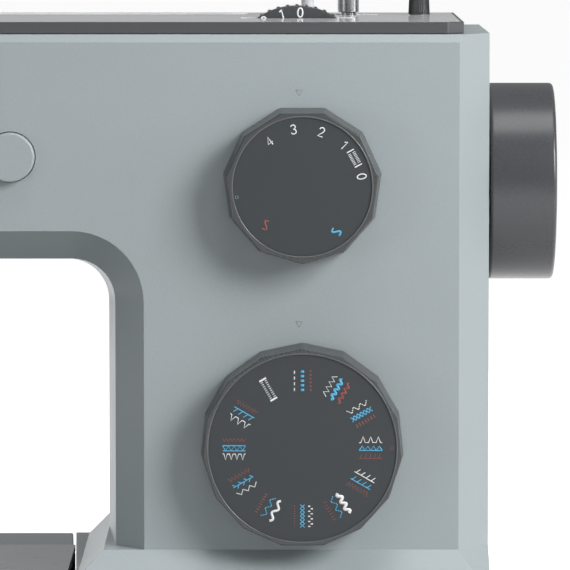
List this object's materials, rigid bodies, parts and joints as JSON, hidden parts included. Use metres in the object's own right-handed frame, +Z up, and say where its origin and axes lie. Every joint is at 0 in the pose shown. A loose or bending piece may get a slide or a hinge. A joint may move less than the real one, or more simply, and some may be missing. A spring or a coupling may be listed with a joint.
{
  "type": "sewing machine",
  "caption": "Free-arm household sewing machine with faceted stitch dials, handwheel, thumb disc for stitch width, and a slide-on extension table.",
  "frame": {"origin": "centre of the machine's bounding box, on the table it stands on", "axes": "+Z up, +X to the operator's right, towards the handwheel, +Y away from the operator"},
  "size_m": [0.41, 0.15, 0.345],
  "materials": {
    "casing_grey": "fine satin moulded grey",
    "casing_dark": "dark grey satin plastic",
    "top_light": "light grey gloss plastic",
    "dial_dark": "dark grey satin plastic with printed stitch patterns",
    "cast_metal": "die-cast",
    "steel": "ground steel",
    "chrome": "polished",
    "inner_plastic": "natural acetal",
    "brass": "sintered bronze",
    "rubber": "black rubber",
    "motor_paint": "black painted housing",
    "board": "circuit board"
  },
  "bodies": {
    "machine": {"front_cover": "casing_grey", "rear_cover": "casing_grey", "face_cover": "casing_grey", "cover_screws": "steel", "top_trim": "casing_dark", "top_cover": "top_light", "handle_pins": "steel", "winder_stop": "casing_dark", "thread_guide": "chrome", "base_pan": "casing_dark", "rubber_feet": "rubber", "free_arm_cover": "casing_grey", "needle_plate": "steel", "arm_frame": "cast_metal", "shaft_bushes": "brass", "bed_frame": "cast_metal", "timing_belt": "rubber", "motor_belt": "rubber", "motor": "motor_paint", "presser_spring": "steel", "power_socket": "casing_dark", "control_board": "board", "led_lamp": "inner_plastic", "bobbin_case": "inner_plastic"},
    "main_shaft": {"main_shaft": "steel", "crank_disc": "steel", "handwheel": "casing_dark", "clutch_knob": "dial_dark", "shaft_pulleys": "inner_plastic"},
    "lower_shaft": {"lower_shaft": "steel", "lower_pulley": "inner_plastic"},
    "motor_shaft": {"motor_pulley": "inner_plastic"},
    "hook": {"hook": "steel"},
    "bobbin": {"bobbin": "inner_plastic"},
    "needle_gate": {"needle_gate": "steel"},
    "needle_bar": {"needle_bar": "chrome", "needle_holder": "chrome", "needle": "chrome"},
    "needle_link": {"needle_bar_link": "steel"},
    "take_up": {"take_up_lever": "steel"},
    "presser": {"presser_bar": "chrome", "presser_foot_holder": "chrome"},
    "presser_foot": {"presser_foot": "chrome"},
    "lifter": {"foot_lifter": "casing_dark"},
    "length_dial": {"stitch_length_dial": "dial_dark"},
    "pattern_dial": {"pattern_dial": "dial_dark", "pattern_cams": "inner_plastic"},
    "width_dial": {"stitch_width_dial": "top_light"},
    "tension_dial": {"tension_dial": "dial_dark"},
    "reverse_button": {"reverse_button": "casing_grey"},
    "winder_bracket": {"winder_bracket": "top_light"},
    "winder_spindle": {"winder_spindle": "chrome"},
    "spool_pin": {"spool_pin": "top_light"},
    "carry_handle": {"carry_handle": "casing_dark"},
    "extension_table": {"extension_table": "casing_grey"},
    "accessory_lid": {"accessory_lid": "casing_grey"},
    "bobbin_cover": {"bobbin_cover": "steel"},
    "feed_bar": {"feed_bar": "cast_metal"},
    "feed_dog": {"feed_dog": "steel"},
    "power_switch": {"power_switch": "casing_dark"}
  },
  "joints": [
    {"name": "main_shaft_spin", "type": "hinge", "parent": "machine", "child": "main_shaft", "pos_m": [0.02, 0.01, 0.231], "axis": [1, 0, 0], "continuous": true},
    {"name": "lower_shaft_spin", "type": "hinge", "parent": "machine", "child": "lower_shaft", "pos_m": [0.02, 0.01, 0.047], "axis": [1, 0, 0], "continuous": true},
    {"name": "motor_spin", "type": "hinge", "parent": "machine", "child": "motor_shaft", "pos_m": [0.14, -0.035, 0.044], "axis": [1, 0, 0], "continuous": true},
    {"name": "hook_spin", "type": "hinge", "parent": "machine", "child": "hook", "pos_m": [-0.165, -0.008, 0.06], "axis": [0, 0, 1], "continuous": true},
    {"name": "bobbin_spin", "type": "hinge", "parent": "machine", "child": "bobbin", "pos_m": [-0.165, -0.008, 0.066], "axis": [0, 0, 1], "continuous": true},
    {"name": "needle_swing", "type": "hinge", "parent": "machine", "child": "needle_gate", "pos_m": [-0.165, 0.02, 0.262], "axis": [0, 1, 0], "range_deg": [-1.25, 1.25]},
    {"name": "needle_bar_slide", "type": "slide", "parent": "needle_gate", "child": "needle_bar", "axis": [0, 0, 1], "range_m": [-0.032, 0]},
    {"name": "needle_link_turn", "type": "hinge", "parent": "needle_bar", "child": "needle_link", "pos_m": [-0.155, 0.01, 0.202], "axis": [1, 0, 0], "range_deg": [-20, 20]},
    {"name": "take_up_swing", "type": "hinge", "parent": "machine", "child": "take_up", "pos_m": [-0.185, 0.022, 0.25], "axis": [1, 0, 0], "range_deg": [-15, 5]},
    {"name": "presser_lift", "type": "slide", "parent": "machine", "child": "presser", "axis": [0, 0, 1], "range_m": [0, 0.006]},
    {"name": "lifter_swing", "type": "hinge", "parent": "machine", "child": "lifter", "pos_m": [-0.177, 0.03, 0.1892], "axis": [0, 1, 0], "range_deg": [0, 20]},
    {"name": "presser_foot_tilt", "type": "hinge", "parent": "presser", "child": "presser_foot", "pos_m": [-0.165, 0.021, 0.097], "axis": [1, 0, 0], "range_deg": [0, 6]},
    {"name": "length_dial_turn", "type": "hinge", "parent": "machine", "child": "length_dial", "pos_m": [0.1113, -0.05, 0.2331], "axis": [0, 1, 0], "range_deg": [-150, 150]},
    {"name": "pattern_dial_turn", "type": "hinge", "parent": "machine", "child": "pattern_dial", "pos_m": [0.1113, -0.05, 0.1382], "axis": [0, 1, 0], "continuous": true},
    {"name": "width_dial_turn", "type": "hinge", "parent": "machine", "child": "width_dial", "pos_m": [0.1094, 0.008, 0.2702], "axis": [0, 1, 0], "range_deg": [0, 66]},
    {"name": "tension_dial_turn", "type": "hinge", "parent": "machine", "child": "tension_dial", "pos_m": [-0.15, -0.045, 0.25], "axis": [0, 1, 0], "range_deg": [-160, 160]},
    {"name": "reverse_press", "type": "slide", "parent": "machine", "child": "reverse_button", "axis": [0, 1, 0], "range_m": [0, 0.003], "stiffness_N_per_m": 300},
    {"name": "winder_shift", "type": "slide", "parent": "machine", "child": "winder_bracket", "axis": [1, 0, 0], "range_m": [0, 0.007]},
    {"name": "winder_spin", "type": "hinge", "parent": "winder_bracket", "child": "winder_spindle", "pos_m": [0.1291, 0.047, 0.27], "axis": [0, 0, 1], "continuous": true},
    {"name": "spool_pin_slide", "type": "slide", "parent": "machine", "child": "spool_pin", "axis": [0, 0, -1], "range_m": [0, 0.05]},
    {"name": "handle_lift", "type": "hinge", "parent": "machine", "child": "carry_handle", "pos_m": [0.015, 0.0555, 0.286], "axis": [1, 0, 0], "range_deg": [0, 90]},
    {"name": "table_pull", "type": "slide", "parent": "machine", "child": "extension_table", "axis": [-1, 0, 0], "range_m": [0, 0.225]},
    {"name": "lid_open", "type": "hinge", "parent": "extension_table", "child": "accessory_lid", "pos_m": [-0.09, -0.075, 0.0108], "axis": [1, 0, 0], "range_deg": [0, 80]},
    {"name": "bobbin_cover_lift", "type": "slide", "parent": "machine", "child": "bobbin_cover", "axis": [0, 0, 1], "range_m": [0, 0.012]},
    {"name": "feed_advance", "type": "slide", "parent": "machine", "child": "feed_bar", "axis": [0, 1, 0], "range_m": [-0.0025, 0.0025]},
    {"name": "feed_lift", "type": "slide", "parent": "feed_bar", "child": "feed_dog", "axis": [0, 0, 1], "range_m": [0, 0.001]},
    {"name": "power_press", "type": "slide", "parent": "machine", "child": "power_switch", "axis": [-1, 0, 0], "range_m": [0, 0.002], "stiffness_N_per_m": 300}
  ],
  "couplings": [
    {"joint": "lower_shaft_spin", "follows": "main_shaft_spin", "ratio": 1},
    {"joint": "hook_spin", "follows": "main_shaft_spin", "ratio": 2},
    {"joint": "motor_spin", "follows": "main_shaft_spin", "ratio": 4},
    {"joint": "lifter_swing", "follows": "presser_lift", "rad_per_m": 58.17},
    {"joint": "presser_foot_tilt", "follows": "presser_lift", "rad_per_m": 17.45}
  ]
}
